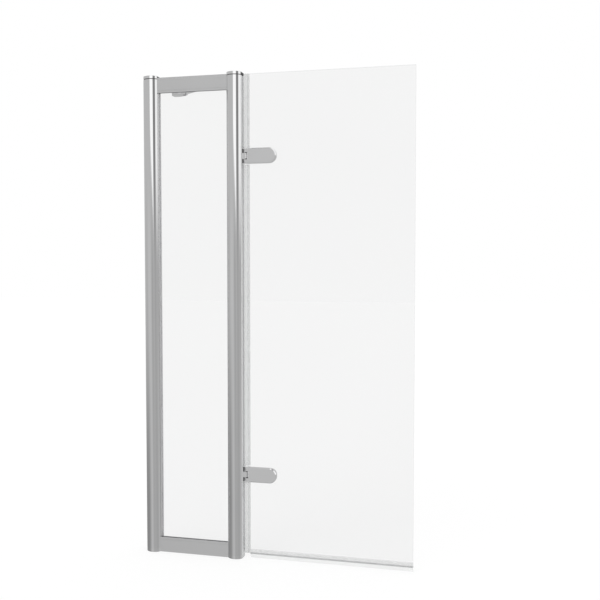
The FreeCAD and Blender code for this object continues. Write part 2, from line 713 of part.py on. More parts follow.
def hinge(which, height):
    """One hinge. It gives back what the post and the glass have to make room for."""
    fixings = leaf(which, height)
    liners(which, height)
    washers(which, height)
    pin_half = "(hinge_height / 2 - hinge_pin_recess)"
    pin = subpart(rod(f"hinge_pin_{which}", "hinge_pin_radius", f"2 * {pin_half}",
                      (PIN_X, PIN_Y, f"{height} - {pin_half}"), "+Z"))
    places = [f"({PIN_X} + hinge_screw_start + {number} * hinge_screw_spacing)" for number in range(2)]
    length = f"{BACK_PLATE_OUTSIDE} - {PLATE_BACK} + hinge_thread_depth"
    screws = [flush_screw(f"plate_screw_{which}_{number}", "large_screw", length,
                          (across, BACK_PLATE_OUTSIDE, height), "-Y") for number, across in enumerate(places, 1)]
    plate_screws = subpart(group(f"plate_screws_{which}", screws))
    subpart(cut(f"hinge_plate_{which}", front_plate(f"front_plate_{which}", height), [pin, plate_screws]))
    subpart(cut(f"hinge_back_{which}", back_plate(f"back_plate_{which}", height), [plate_screws]))
    pads, sleeves = hinge_pads(f"hinge_pads_{which}", height, places)
    subpart(cut(f"hinge_gasket_{which}", pads, [plate_screws]))
    return fixings, sleeves


# ---------------------------------------------------------------- seals of the wing

def side_seal(which, low, high):
    """A clip-on strip on the wing's edge, whose lip reaches back to the post's side."""
    body = new_body(f"seal_side_{which}")
    outer = f"({GLASS_HALF} + seal_wall)"
    base = f"({WING_LEFT} - seal_base)"
    leg = f"({WING_LEFT} + seal_leg)"
    lip_front = "-seal_lip_front"
    lip_back = "(seal_lip_thickness - seal_lip_front)"
    bend = f"({PIN_X} - seal_lip_bend + seal_lip_thickness)"
    tip = f"({POST_SIDE} + seal_lip_clear)"
    corners = [(base, f"-{outer}"), (leg, f"-{outer}"), (leg, f"-{GLASS_HALF}"), (WING_LEFT, f"-{GLASS_HALF}"),
               (WING_LEFT, GLASS_HALF), (leg, GLASS_HALF), (leg, outer), (base, outer),
               (base, lip_back), (f"({bend} + seal_lip_thickness)", lip_back),
               (f"({tip} + seal_lip_thickness)", "seal_lip_depth"), (tip, "seal_lip_depth"),
               (bend, lip_front), (base, lip_front)]
    pad(body, outline(body, f"seal_side_{which}_plan", "XY_Plane", low, corners), f"{high} - {low}")
    return subpart(body)


def bottom_seal():
    """The strip under the wing, with a thin fin that wipes the bath's rim."""
    body = new_body("seal_bottom")
    outer = f"({GLASS_HALF} + seal_wall)"
    top, base = "(wing_bottom + bottom_seal_leg)", "(wing_bottom - seal_base)"
    fin = "seal_lip_thickness / 2"
    corners = [(f"-{outer}", top), (f"-{outer}", base), (f"-{fin}", base), (f"-{fin}", "bottom_seal_clear"),
               (fin, "bottom_seal_clear"), (fin, base), (outer, base), (outer, top),
               (GLASS_HALF, top), (GLASS_HALF, "wing_bottom"), (f"-{GLASS_HALF}", "wing_bottom"),
               (f"-{GLASS_HALF}", top)]
    start = f"({WING_LEFT} + seal_leg + seal_corner_gap)"
    pad(body, outline(body, "seal_bottom_section", "YZ_Plane", start, corners), f"{WING_RIGHT} - {start}")
    return subpart(body)


# ---------------------------------------------------------------- brace

BLOCK_RIGHT = f"({WALL} + brace_block_width)"
BRACE_LOW = "(overall_height - brace_bottom)"
ARM_LOW = f"({BRACE_LOW} + brace_tongue_thickness)"
ARM_TOP = f"({ARM_LOW} + brace_arm_thickness)"
EYE_X = f"({BLOCK_RIGHT} + brace_tongue_reach)"
EYE_Y = "(brace_from_glass - brace_tongue_drop)"
LUG_Y = f"({HALF_DEPTH} + brace_lug_reach)"
ARM_ALONG = f"(post_pitch - {EYE_X})"
ARM_ACROSS = f"({EYE_Y} - {LUG_Y})"
ARM_LENGTH = f"sqrt({ARM_ALONG} ^ 2 + {ARM_ACROSS} ^ 2)"


def wall_fitting():
    """The base on the wall, the block over it, and the grub screw that holds the block."""
    block_middle = f"({BRACE_LOW} + brace_block_height / 2)"
    base_half = ("brace_base_depth / 2", "brace_base_height / 2")
    blank = box("brace_base_blank",
                (WALL, f"brace_from_glass - {base_half[0]}", f"{block_middle} - {base_half[1]}"),
                (f"{WALL} + brace_base_width", f"brace_from_glass + {base_half[0]}",
                 f"{block_middle} + {base_half[1]}"))
    holes = [rod(f"brace_hole_{number}", "brace_hole_radius", "brace_base_width",
                 (WALL, f"brace_from_glass {shift} brace_hole_spacing / 2", block_middle), "+X")
             for number, shift in enumerate(("-", "+"), start=1)]
    subpart(cut("brace_wall_base", blank, holes))

    body = new_body("brace_block")
    near, far = "(brace_from_glass - brace_block_depth / 2)", "(brace_from_glass + brace_block_depth / 2)"
    block = pad(body, outline(body, "brace_block_plan", "XY_Plane", BRACE_LOW,
                              rectangle(WALL, BLOCK_RIGHT, near, far)), "brace_block_height")
    wall, low = value(WALL), value(BRACE_LOW)
    dress(body, "Fillet", block, "Radius", "brace_block_round",
          lambda edge, middle: middle.x > wall + 1e-6 and middle.z > low + 1e-6)
    out_x, out_y = (f"({words} / {ARM_LENGTH} * brace_arm_width / 2)" for words in (ARM_ACROSS, ARM_ALONG))
    inside = f"({BLOCK_RIGHT} - brace_block_round * 2)"
    tongue = [(inside, f"({far} - brace_block_round)"),
              (inside, near),
              (BLOCK_RIGHT, near),
              (f"({EYE_X} - {out_x})", f"({EYE_Y} - {out_y})", EYE_X, EYE_Y, 1),
              (f"({EYE_X} + {out_x})", f"({EYE_Y} + {out_y})"),
              (BLOCK_RIGHT, f"({far} - brace_block_round)")]
    pad(body, outline(body, "brace_tongue_plan", "XY_Plane", BRACE_LOW, tongue), "brace_tongue_thickness")
    slip = "brace_base_slip"
    seat = box("brace_base_seat",
               (f"{WALL} - {slip}", f"brace_from_glass - {base_half[0]} - {slip}",
                f"{block_middle} - {base_half[1]} - {slip}"),
               (f"{WALL} + brace_base_width + {slip}", f"brace_from_glass + {base_half[0]} + {slip}",
                f"{block_middle} + {base_half[1]} + {slip}"))
    axis = (f"{WALL} + brace_grub_from_wall", f"{block_middle} + brace_grub_rise")
    grub_seat = rod("brace_grub_hole", "brace_grub_radius", "brace_block_depth / 2",
                    (axis[0], near, axis[1]), "+Y")
    subpart(rod("brace_grub_screw", "brace_grub_radius",
                f"brace_block_depth / 2 - {base_half[0]} - brace_grub_recess",
                (axis[0], f"{near} + brace_grub_recess", axis[1]), "+Y"))
    return body, fuse("brace_block_hollow", [seat, grub_seat])


def brace():
    """The flat arm from the wall block to the lug on the post, with its screws and nuts."""
    block, hollow = wall_fitting()
    eyes = {"wall": (EYE_X, EYE_Y), "post": ("post_pitch", LUG_Y)}
    screws, nuts = [], []
    for which, (across, back) in eyes.items():
        length = "brace_arm_thickness + brace_tongue_thickness + brace_nut_height"
        screws.append(pan_screw(f"brace_screw_{which}", "large_screw", length, (across, back, ARM_TOP), "-Z"))
        nuts.append(rod(f"brace_nut_{which}", "brace_nut_radius", "brace_nut_height",
                        (across, back, BRACE_LOW), "-Z"))
    pivots = subpart(group("brace_screws", screws))
    subpart(cut("brace_nuts", group("brace_nut_blanks", nuts), [pivots]))
    subpart(cut("brace_wall_block", block, [hollow, pivots]))

    arm = new_body("brace_strip")
    half = "brace_arm_width / 2"
    corners = [("0 * brace_arm_width", f"-{half}"), (ARM_LENGTH, f"-{half}", ARM_LENGTH, "0 * brace_arm_width", 1),
               (ARM_LENGTH, half), ("0 * brace_arm_width", half, "0 * brace_arm_width", "0 * brace_arm_width", 1)]
    pad(arm, outline(arm, "brace_strip_plan", "XY_Plane", ARM_LOW, corners), "brace_arm_thickness")
    arm.Placement = FreeCAD.Placement(Vector(0, 0, 0), Rotation(Vector(0, 0, -1), 30))
    bind(arm, "Placement.Base.x", EYE_X)
    bind(arm, "Placement.Base.y", EYE_Y)
    bind(arm, "Placement.Rotation.Angle", f"atan({ARM_ACROSS} / {ARM_ALONG})")
    subpart(cut("brace_arm", arm, [pivots]))

    lug_back = f"({HALF_DEPTH} + brace_lug_thickness)"
    plate = box("lug_plate", ("post_pitch - brace_lug_width / 2", HALF_DEPTH, f"{ARM_LOW} - brace_lug_height"),
                ("post_pitch + brace_lug_width / 2", lug_back, ARM_LOW))
    tab = box("lug_tab", (f"post_pitch - {half}", lug_back, BRACE_LOW), (f"post_pitch + {half}", LUG_Y, ARM_LOW))
    tab_end = rod("lug_tab_end", half, "brace_tongue_thickness", ("post_pitch", LUG_Y, BRACE_LOW), "+Z")
    fixings = []
    for number in (1, 2):
        foot = ("post_pitch", lug_back, f"{ARM_LOW} - brace_lug_height * {number + 1} / 4 + brace_lug_thickness")
        fixings.append(flush_screw(f"lug_screw_{number}", "small_screw",
                                   "brace_lug_thickness + small_screw_length", foot, "-Y"))
    lug_screws = subpart(group("lug_screws", fixings))
    subpart(cut("brace_lug", fuse("lug_blank", [plate, tab, tab_end]), [pivots, lug_screws]))
    return lug_screws


# ---------------------------------------------------------------- assembly

corner_screws = corner_joints()
adjusting_screws = wall_channel()
slots = {}
for side in POSTS:
    top_cap(side)
    bottom_cap(side)
    slots[side] = stile(side)
for level in RAILS:
    rail(level)
    bead(level)
fixed_pane()

leaf_fixings, glass_holes = [], []
for level, centre_height in HINGE_HEIGHTS.items():
    leaf_screws, hinge_sleeves = hinge(level, centre_height)
    leaf_fixings.append(leaf_screws)
    glass_holes += hinge_sleeves
brace_fixings = brace()

subpart(cut("wall_post", post_tube("wall"), [slots["wall"], corner_screws, adjusting_screws]))
subpart(cut("hinge_post", post_tube("hinge"), [slots["hinge"], corner_screws, brace_fixings] + leaf_fixings))
wing_pane = pane("wing_pane", WING_LEFT, WING_RIGHT, "wing_bottom", FRAME_TOP)
subpart(cut("wing_glass", wing_pane, glass_holes))

clear = "(hinge_height / 2 + seal_end_gap)"
side_seal("lower", "wing_bottom", f"({HINGE_HEIGHTS['lower']} - {clear})")
side_seal("middle", f"({HINGE_HEIGHTS['lower']} + {clear})", f"({HINGE_HEIGHTS['upper']} - {clear})")
side_seal("upper", f"({HINGE_HEIGHTS['upper']} + {clear})", FRAME_TOP)
bottom_seal()

# ---------------------------------------------------------------- checks and files

doc.recompute()
for thing in doc.Objects:
    if "Invalid" in thing.State or "Error" in thing.State:
        raise RuntimeError(f"{thing.Label} failed: {thing.State}")
    if thing.TypeId == "PartDesign::Pocket" and thing.Shape.Volume >= thing.BaseFeature.Shape.Volume:
        raise RuntimeError(f"{thing.Label} removes nothing")
for piece in subparts:
    if piece.Shape.isNull() or not piece.Shape.isValid():
        raise RuntimeError(f"{piece.Label} has no valid shape")

os.makedirs("parts", exist_ok=True)
for piece in subparts:
    piece.Shape.exportStep(f"parts/{piece.Label}.step")
    bounds = piece.Shape.BoundBox
    print(f"{piece.Label:22s} solids {len(piece.Shape.Solids)}  volume {piece.Shape.Volume:10.1f}  "
          f"x {bounds.XMin:7.2f} {bounds.XMax:7.2f}  y {bounds.YMin:7.2f} {bounds.YMax:7.2f}  "
          f"z {bounds.ZMin:8.2f} {bounds.ZMax:8.2f}")
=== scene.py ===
# %% [markdown]
# # A glass bath screen
# The real screen is two posts with arched fronts, two rails and a narrow fixed pane between them, and
# a wide frameless pane that swings on two clamp hinges. The solids come from the part's own CAD model,
# so this lesson gives them their finishes, models the fasteners in detail and sets up the studio.

# %% Load the solids
import math
import bpy
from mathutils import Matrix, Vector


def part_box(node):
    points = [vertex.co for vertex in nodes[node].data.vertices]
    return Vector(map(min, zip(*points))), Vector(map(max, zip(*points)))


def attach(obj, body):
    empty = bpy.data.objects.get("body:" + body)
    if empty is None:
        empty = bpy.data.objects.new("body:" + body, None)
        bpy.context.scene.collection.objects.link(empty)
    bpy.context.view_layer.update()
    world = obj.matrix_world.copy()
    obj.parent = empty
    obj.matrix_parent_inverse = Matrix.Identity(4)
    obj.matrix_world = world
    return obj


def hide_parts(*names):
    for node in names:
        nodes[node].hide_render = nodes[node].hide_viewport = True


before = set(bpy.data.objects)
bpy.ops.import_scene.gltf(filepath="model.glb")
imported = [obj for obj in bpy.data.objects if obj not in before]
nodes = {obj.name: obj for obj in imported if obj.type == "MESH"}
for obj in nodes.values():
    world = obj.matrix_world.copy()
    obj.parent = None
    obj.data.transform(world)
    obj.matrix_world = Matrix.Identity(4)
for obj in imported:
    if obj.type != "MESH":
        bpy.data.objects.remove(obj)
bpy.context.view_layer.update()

# %% [markdown]
# ## Sums on wires
# A finish is easier to read as a sum than as a list of nodes. A Wire stands for one socket, and adding
# or multiplying it adds the Math node. A Recipe makes every other node, and has a short word for the
# kinds that most finishes need: a blend of two colours, a noise, a relief and the finished surface.

# %% Wires and recipes
def grey(level):
    return (level, level, level, 1)


class Wire:
    """A number that runs along one wire of a node tree."""

    def __init__(self, recipe, socket):
        self.recipe = recipe
        self.socket = socket

    def math(self, operation, *values):
        node = self.recipe.add("Math", {"operation": operation}, dict(enumerate(values)))
        return Wire(self.recipe, node.outputs[0])

    def __add__(self, other):
        return self.math("ADD", self, other)

    def __sub__(self, other):
        return self.math("SUBTRACT", self, other)

    def __rsub__(self, other):
        return self.math("SUBTRACT", other, self)

    def __mul__(self, other):
        return self.math("MULTIPLY", self, other)

    def __truediv__(self, other):
        return self.math("DIVIDE", self, other)

    def __abs__(self):
        return self.math("ABSOLUTE", self)

    def larger(self, other):
        return self.math("MAXIMUM", self, other)

    def between(self, low, high):
        """0 below low, 1 above high, and a soft step from one to the other."""
        node = self.recipe.add("MapRange", {"interpolation_type": "SMOOTHSTEP"},
                               {"Value": self, "From Min": low, "From Max": high})
        return Wire(self.recipe, node.outputs[0])


class Recipe:
    """A node tree under way, for a finish or for the studio."""

    def __init__(self, tree):
        self.tree = tree
        tree.nodes.clear()

    def add(self, kind, settings=None, values=None):
        node = self.tree.nodes.new("ShaderNode" + kind)
        for name, setting in (settings or {}).items():
            if name == "stops":
                self.set_stops(node.color_ramp, setting)
            else:
                setattr(node, name, setting)
        for name, given in (values or {}).items():
            if isinstance(given, Wire):
                self.tree.links.new(given.socket, node.inputs[name])
            else:
                node.inputs[name].default_value = given
        return node

    def set_stops(self, ramp, stops):
        while len(ramp.elements) > 1:
            ramp.elements.remove(ramp.elements[-1])
        for number, (place, level) in enumerate(stops):
            stop = ramp.elements[0] if number == 0 else ramp.elements.new(place)
            stop.position = place
            stop.color = grey(level)

    def wire(self, kind, output=0, settings=None, values=None):
        return Wire(self, self.add(kind, settings, values).outputs[output])

    def split(self, vector):
        node = self.add("SeparateXYZ", None, {"Vector": vector})
        return [Wire(self, socket) for socket in node.outputs]

    def rays(self, kind):
        return self.wire("LightPath", f"Is {kind} Ray")

    def blend(self, share, first, second):
        """A colour between two, the first at a share of 0 and the second at 1."""
        return self.wire("Mix", 2, {"data_type": "RGBA"}, {0: share, 6: first, 7: second})

    def mottle(self, cloud, deep, pale):
        """Two close colours in soft patches, by the clouds of a noise."""
        return self.blend(cloud.between(0.3, 0.7), deep, pale)

    def noise(self, place, scale, detail=2.0, **more):
        values = {"Vector": place, "Scale": scale, "Detail": detail, **more}
        return self.wire("TexNoise", "Fac", None, values)

    def relief(self, height, strength, distance):
        return self.wire("Bump", 0, None, {"Strength": strength, "Distance": distance, "Height": height})

    def surface(self, **values):
        """The finished surface. A value's name is the socket's, with a low line for each space."""
        inputs = {name.replace("_", " "): value for name, value in values.items()}
        body = self.wire("BsdfPrincipled", 0, None, inputs)
        self.add("OutputMaterial", None, {"Surface": body})


def new_finish(name):
    """An empty material, its recipe, and the place on the object that its patterns follow."""
    finish = bpy.data.materials.new(name)
    finish.use_nodes = True
    recipe = Recipe(finish.node_tree)
    return finish, recipe, recipe.wire("TexCoord", "Object")


print("wires and recipes are ready")

# %% [markdown]
# ## The studio's reflections
# Polished metal shows the studio more than itself. The posts in the studio show a wide grey wall, a
# white softbox, a dark flag and a second softbox, all above the camera's level, and softer greys below
# it. The world draws these by direction for glossy rays alone. Rays of the camera, and those through
# glass, meet plain white, and what lights the rest is an even pale level.

# %% The studio
def compass(degrees):
    """A heading as a share of the full turn, from straight back round to straight back."""
    return degrees / 360 + 0.5


HIGH_GREYS = [(-180, 0.66), (-134, 0.56), (-100, 0.52), (-20, 0.52), (-17, 0.475), (-9, 0.55),
              (23, 0.56), (28, 0.24), (53, 0.23), (58, 0.98), (78, 0.98), (100, 0.86), (125, 0.68),
              (170, 0.58), (180, 0.60)]
LEVEL_GREYS = [(-180, 0.60), (-130, 0.56), (-92, 0.49), (-72, 0.46), (-50, 0.54), (-25, 0.55), (-10, 0.49),
               (2, 0.38), (16, 0.44), (28, 0.45), (40, 0.38), (56, 0.43), (84, 0.43), (110, 0.68),
               (130, 0.68), (170, 0.62), (180, 0.60)]
LOW_GREYS = [(-180, 0.55), (-134, 0.42), (-110, 0.27), (-67, 0.275), (-50, 0.33), (-36, 0.45), (-21, 0.51),
             (-17, 0.53), (-8, 0.465), (5, 0.40), (18, 0.42), (43, 0.39), (56, 0.39), (70, 0.47),
             (110, 0.66), (130, 0.64), (170, 0.58), (180, 0.56)]
FLOOR_GREY = 0.48
FLOOR_TO_LOW = (-60.0, -38.0)
LOW_TO_LEVEL = (-17.0, -1.0)
LEVEL_TO_HIGH = (-1.0, 8.0)
SOFTBOX_WHITE = 1.07
SOFTBOX_LEFT = (-15, -10)
SOFTBOX_RIGHT = (23, 28)
SOFTBOX_FOOT = (-1.5, 2.0)
FOOT_HEIGHT = 8.0
FOOT_HEADING = -12
FOOT_FALL = 6.0 / 38
SEEN_WHITE = 1.0
EVEN_LIGHT = 0.78


def by_heading(studio, heading, greys):
    stops = [(compass(degrees), level) for degrees, level in greys]
    return studio.wire("ValToRGB", 0, {"stops": stops}, {"Fac": heading})


def softbox_share(turn, rise):
    """1 inside the softbox over the camera, whose foot falls from left to right."""
    edge = FOOT_HEIGHT - (turn - FOOT_HEADING) * FOOT_FALL
    across = turn.between(*SOFTBOX_LEFT) * (1 - turn.between(*SOFTBOX_RIGHT))
    return across * (rise - edge).between(*SOFTBOX_FOOT)


def background(studio, color, strength):
    return studio.wire("Background", 0, None, {"Color": color, "Strength": strength})


def build_world():
    world = bpy.data.worlds.new("studio")
    bpy.context.scene.world = world
    world.use_nodes = True
    studio = Recipe(world.node_tree)
    along, depth, up = studio.split(studio.wire("TexCoord", "Generated"))
    heading = along.math("ARCTAN2", along, 0 - depth) / (2 * math.pi) + 0.5
    turn = (heading - 0.5) * 360
    rise = up.math("ARCSINE", up) * (180 / math.pi)
    high = by_heading(studio, heading, HIGH_GREYS)
    level = by_heading(studio, heading, LEVEL_GREYS)
    low = by_heading(studio, heading, LOW_GREYS)
    low = studio.blend(rise.between(*FLOOR_TO_LOW), grey(FLOOR_GREY), low)
    level = studio.blend(rise.between(*LOW_TO_LEVEL), low, level)
    greys = studio.blend(rise.between(*LEVEL_TO_HIGH), level, high)
    lit = studio.blend(softbox_share(turn, rise), greys, grey(SOFTBOX_WHITE))
    mirrored = background(studio, lit, 1.0)
    plain = background(studio, grey(1), EVEN_LIGHT)
    white = background(studio, grey(1), SEEN_WHITE)
    unseen = studio.wire("MixShader", 0, None, {0: studio.rays("Glossy"), 1: plain, 2: mirrored})
    seen = studio.rays("Camera").larger(studio.rays("Transmission"))
    whole = studio.wire("MixShader", 0, None, {0: seen, 1: unseen, 2: white})
    studio.add("OutputWorld", None, {"Surface": whole})
    return world


print("world", build_world().name)

# %% [markdown]
# One broad lamp from the upper left front gives the soft fittings a little shape. It stays out of
# mirrors, because the world above already draws what they show.

# %% The lamp and the floor
def deselect():
    """Operators act on all that is selected, and the loaded solids start selected."""
    if bpy.context.object and bpy.context.object.mode == "EDIT":
        bpy.ops.object.mode_set(mode="OBJECT")
    bpy.ops.object.select_all(action="DESELECT")


LAMP_TILT = 48
LAMP_TURN = -28
LAMP_STRENGTH = 0.75
LAMP_SPREAD = 50
FLOOR_SIZE = 30
FLOOR_DROP = 0.0006
FLOOR_PAINT = 0.92
FLOOR_GLOW = 1.065
GLOW_SHARE = 0.72


def soft_lamp():
    deselect()
    bpy.ops.object.light_add(type="SUN", rotation=(math.radians(LAMP_TILT), 0, math.radians(LAMP_TURN)))
    lamp = bpy.context.object
    lamp.name = "soft_lamp"
    lamp.data.energy = LAMP_STRENGTH
    lamp.data.angle = math.radians(LAMP_SPREAD)
    lamp.visible_glossy = False
    return lamp


def pale_floor():
    """A floor that looks nearly white, and still takes a faint shadow."""
    deselect()
    bpy.ops.mesh.primitive_plane_add(size=FLOOR_SIZE, location=(0, 0, -FLOOR_DROP))
    floor = bpy.context.object
    floor.name = "floor"
    finish = bpy.data.materials.new("pale_floor")
    finish.use_nodes = True
    recipe = Recipe(finish.node_tree)
    seen = recipe.rays("Camera").larger(recipe.rays("Transmission"))
    paint = recipe.wire("BsdfDiffuse", 0, None, {"Color": grey(FLOOR_PAINT)})
    glow = recipe.wire("Emission", 0, None, {"Color": grey(1), "Strength": FLOOR_GLOW})
    shown = recipe.wire("MixShader", 0, None, {0: seen * GLOW_SHARE, 1: paint, 2: glow})
    recipe.add("OutputMaterial", None, {"Surface": shown})
    floor.data.materials.append(finish)
    floor.visible_glossy = False
    return floor


print("lamp", soft_lamp().name, "and floor", pale_floor().name)

# %% [markdown]
# ## The camera
# The camera stands to the right of the screen at about two thirds of its height, and looks a little
# down and back to the left, so that both posts show their arched fronts and the pane runs away.

# %% The camera
FOCAL_LENGTH = 51.08
SENSOR_WIDTH = 36
CAMERA_PLACE = (1.0318, -2.3347, 0.8669)
CAMERA_TILT = 87.30
CAMERA_TURN = 14.09


def set_camera():
    lens = bpy.data.cameras.new("camera")
    lens.lens = FOCAL_LENGTH
    lens.sensor_width = SENSOR_WIDTH
    camera = bpy.data.objects.new("camera", lens)
    camera.location = CAMERA_PLACE
    camera.rotation_euler = (math.radians(CAMERA_TILT), 0, math.radians(CAMERA_TURN))
    bpy.context.scene.collection.objects.link(camera)
    bpy.context.scene.camera = camera
    return camera


bpy.context.scene.view_settings.view_transform = "Standard"
print("camera", set_camera().name, "at", FOCAL_LENGTH, "mm")

# %% [markdown]
# ## Metal finishes
# Extruded aluminium is drawn through a die and then polished along its length, which leaves very fine
# lines that way. Noise stretched along the profile stands for them: it feeds a little into the gloss
# and a little into the relief. Cast and plated fittings have no lines, only a faint unevenness. The
# second post's side, where the strip's lip rests, is made matt and pale: a painted reflection, in place
# of the light that its polished face would mirror.

# %% Metals
LINE_DEPTH = 0.00004
FACING_SIDE = (0.93, 0.97)
# painted reflection: a pale colour for the second post's side, standing in for the light it mirrors
PALE_PAINTED_REFLECTION = (0.93, 0.935, 0.935, 1)
MATT_ROUGHNESS = 0.34


def drawn_metal(name, color, roughness, lines, stretch, variation=0.03, pale_painted_side=False):
    """Metal with fine lines along one axis: stretch is the noise's scale along x, y and z."""
    finish, recipe, place = new_finish(name)
    drawn = recipe.wire("Mapping", 0, None, {"Vector": place, "Scale": stretch})
    grain = recipe.noise(drawn, 1.0, 3.0, Roughness=0.6)
    cloud = recipe.noise(place, 9.0)
    dark = tuple(channel * (1 - variation) for channel in color) + (1,)
    shade = recipe.mottle(grain * 0.6 + cloud * 0.4, dark, color + (1,))
    gloss = (grain - 0.5) * (roughness * 0.5) + (cloud - 0.5) * (roughness * 0.25) + roughness
    metallic = 1.0
    # Painted reflection: the side faces turn matt, non-metal and pale, so lamp light stands in for what
    # they mirror.
    if pale_painted_side:
        facing_side, _, _ = recipe.split(recipe.wire("TexCoord", "Normal"))
        side = facing_side.between(*FACING_SIDE)
        shade = recipe.blend(side, shade, PALE_PAINTED_REFLECTION)
        gloss = side * MATT_ROUGHNESS + gloss
        metallic = 1 - side
    recipe.surface(Base_Color=shade, Metallic=metallic, Roughness=gloss,
                   Normal=recipe.relief(grain, lines, LINE_DEPTH))
    return finish


POLISHED = drawn_metal("polished_post", (0.89, 0.89, 0.895), 0.06, 0.10, (1600, 1600, 3))
# The hinge post's flat side carries a painted reflection.
HINGE_POST = drawn_metal("hinge_post_polish_and_painted_side", (0.89, 0.89, 0.895), 0.06, 0.10, (1600, 1600, 3),
                         pale_painted_side=True)
SATIN_UPRIGHT = drawn_metal("satin_stile", (0.86, 0.86, 0.865), 0.24, 0.22, (1800, 1800, 4))
SATIN_RAIL = drawn_metal("satin_rail", (0.855, 0.855, 0.86), 0.22, 0.22, (4, 1800, 1800))
MILL = drawn_metal("mill_channel", (0.72, 0.72, 0.73), 0.34, 0.35, (1500, 1500, 3), 0.08)
CHROME = drawn_metal("chrome_plate", (0.92, 0.92, 0.925), 0.10, 0.05, (60, 60, 60), 0.02)
SATIN_CHROME = drawn_metal("satin_chrome", (0.93, 0.93, 0.935), 0.18, 0.10, (1400, 1400, 1400), 0.02)
STEEL = drawn_metal("stainless_screw", (0.66, 0.66, 0.67), 0.22, 0.15, (900, 900, 900), 0.06)
BLACK_STEEL = drawn_metal("black_grub_steel", (0.06, 0.06, 0.062), 0.34, 0.15, (900, 900, 900), 0.10)
print("nine metal finishes")

# %% [markdown]
# A top cap is bright chrome. The groove that parts the cap from the post, and the flat sides, are
# painted dark and non-metal, as painted shade and dark reflection. Both are found by height and by the
# direction that a face has.

# %% The caps
GROOVE = (1.3897, 1.3900, 1.3920, 1.3922)
CAP_SIDE = (1.3918, 1.3921, 1.3988, 1.3992)
CAP_DEEP = (0.90, 0.90, 0.905, 1)
CAP_PALE = (0.93, 0.93, 0.935, 1)
# painted shade and dark reflection for the cap's groove and flat sides
CAP_PAINTED_SHADE = (0.035, 0.035, 0.037, 1)
CAP_ROUGHNESS = 0.08
SHADE_ROUGHNESS = 0.35


def within(height, band):
    """1 inside a band of heights, given as the two ends of its lower and of its upper soft edge."""
    start, full, fading, end = band
    return height.between(start, full) * (1 - height.between(fading, end))


def cap_finish():
    finish, recipe, place = new_finish("cap_chrome")
    facing_side, _, facing_up = recipe.split(recipe.wire("TexCoord", "Normal"))
    _, _, height = recipe.split(place)
    upright = 1 - abs(facing_up).between(0.3, 0.6)
    shaded_sides = abs(facing_side).between(0.92, 0.96) * within(height, CAP_SIDE)
    # Painted shade: the groove and the flat sides turn dark and non-metal, for their shadow and dark
    # reflection.
    body = (within(height, GROOVE) * upright).larger(shaded_sides)
    cloud = recipe.noise(place, 70.0, 3.0)
    shade = recipe.blend(body, recipe.mottle(cloud, CAP_DEEP, CAP_PALE), CAP_PAINTED_SHADE)
    gloss = (cloud - 0.5) * 0.04 + body * SHADE_ROUGHNESS + CAP_ROUGHNESS
    recipe.surface(Base_Color=shade, Metallic=1 - body, Roughness=gloss,
                   Normal=recipe.relief(cloud, 0.05, LINE_DEPTH))
    return finish


CAP = cap_finish()
print("caps are", CAP.name)

# %% [markdown]
# ## Glass, seals and soft parts
# Clear glass over a white ground shows as a faint grey, a little darker where the light runs along
# the cut edge. A low alpha gives the faces that grey, and a higher one gives the edges, found by the
# direction they face. The strips are soft clear plastic that has gone slightly milky.

# %% Glass and plastics
GLASS_COVER = 0.061
GLASS_RIM_COVER = 0.10
GLASS_TINT = (0.20, 0.21, 0.21, 1)
GLASS_RIM_TINT = (0.34, 0.42, 0.40, 1)
LIP_START = (0.2880, 0.2888)
LIP_TINT = (0.66, 0.67, 0.67, 1)
LIP_COVER = 0.22
CLIP_COVER = 0.21
WEB = (0.0127, 0.0131, 0.0146, 0.0152)
# painted shade: a dark line in the web where the glass edge sits
WEB_PAINTED_SHADE = (0.34, 0.35, 0.35, 1)
WEB_COVER = 0.16
LEG_COVER = 0.17


def glass_finish():
    finish, recipe, place = new_finish("clear_glass")
    _, facing, _ = recipe.split(recipe.wire("TexCoord", "Normal"))
    wave = recipe.noise(place, 2.2, 1.0)
    rim = 1 - abs(facing).between(0.55, 0.95)
    shine = recipe.wire("LayerWeight", "Fresnel", None, {"Blend": 0.18})
    cover = rim * GLASS_RIM_COVER + (wave - 0.5) * 0.010 + shine * 0.05 + GLASS_COVER
    tint = recipe.blend(rim, GLASS_TINT, GLASS_RIM_TINT)
    recipe.surface(Base_Color=tint, Roughness=0.04, IOR=1.5, Alpha=cover)
    return finish


def rubber_finish(name, color, roughness, cloudiness, grain_scale, relief_depth, shine_level=0.5):
    """Rubber or nylon: fine grain and faint clouds."""
    finish, recipe, place = new_finish(name)
    grain = recipe.noise(place, grain_scale)
    cloud = recipe.noise(place, 30.0)
    pale = tuple(min(1, channel * (1 + cloudiness)) for channel in color) + (1,)
    deep = tuple(channel * (1 - cloudiness) for channel in color) + (1,)
    recipe.surface(Base_Color=recipe.mottle(cloud, deep, pale),
                   Roughness=(grain - 0.5) * 0.12 + roughness,
                   Normal=recipe.relief(grain, 0.3, relief_depth), Specular_IOR_Level=shine_level)
    return finish


def milky_strip():
    """The side strip: a clear clip on the glass, and a milkier lip that reaches back to the post."""
    finish, recipe, place = new_finish("milky_strip")
    across, _, _ = recipe.split(place)
    lip = 1 - across.between(*LIP_START)
    cloud = recipe.noise(place, 40.0)
    grain = recipe.noise(place, 900.0)
    clip_tint = recipe.mottle(cloud, (0.58, 0.59, 0.59, 1), (0.62, 0.63, 0.63, 1))
    recipe.surface(Base_Color=recipe.blend(lip, clip_tint, LIP_TINT),
                   Roughness=(grain - 0.5) * 0.10 + 0.32,
                   Normal=recipe.relief(grain, 0.15, 0.00001),
                   Alpha=lip * LIP_COVER + (cloud - 0.5) * 0.02 + CLIP_COVER)
    return finish


